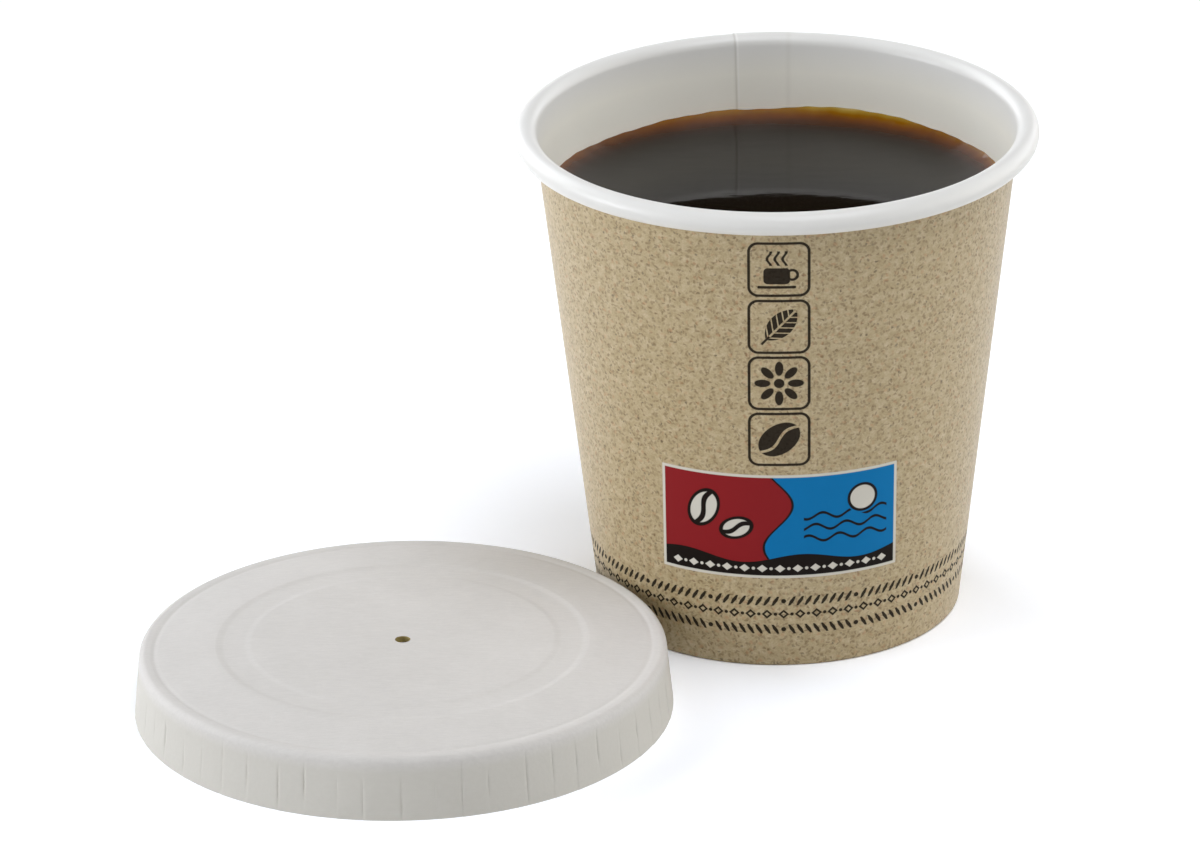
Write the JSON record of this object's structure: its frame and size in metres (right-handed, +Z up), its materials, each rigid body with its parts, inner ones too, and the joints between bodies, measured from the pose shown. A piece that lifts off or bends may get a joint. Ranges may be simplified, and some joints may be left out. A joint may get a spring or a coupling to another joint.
{
  "type": "paper coffee cup",
  "caption": "Small paper espresso cup with rolled rim, lapped side seam and folded foot, filled with black coffee, with its pleated paper lid lying beside it.",
  "frame": {"origin": "centre of the cup's foot, on the table", "axes": "+Z up along the cup's axis, -Y towards the printed front, +X to the right of the front; the seam is at the back, towards +Y"},
  "size_m": [0.1075, 0.0935, 0.0609],
  "materials": {
    "kraft_board": "matte printed kraft outside, white film inside",
    "white_board": "satin film",
    "coffee": "still dark liquid",
    "lid_board": "matte fibrous"
  },
  "bodies": {
    "root": {"cup_wall": "kraft_board", "cup_base": "white_board", "coffee": "coffee", "lid": "lid_board"}
  },
  "joints": []
}
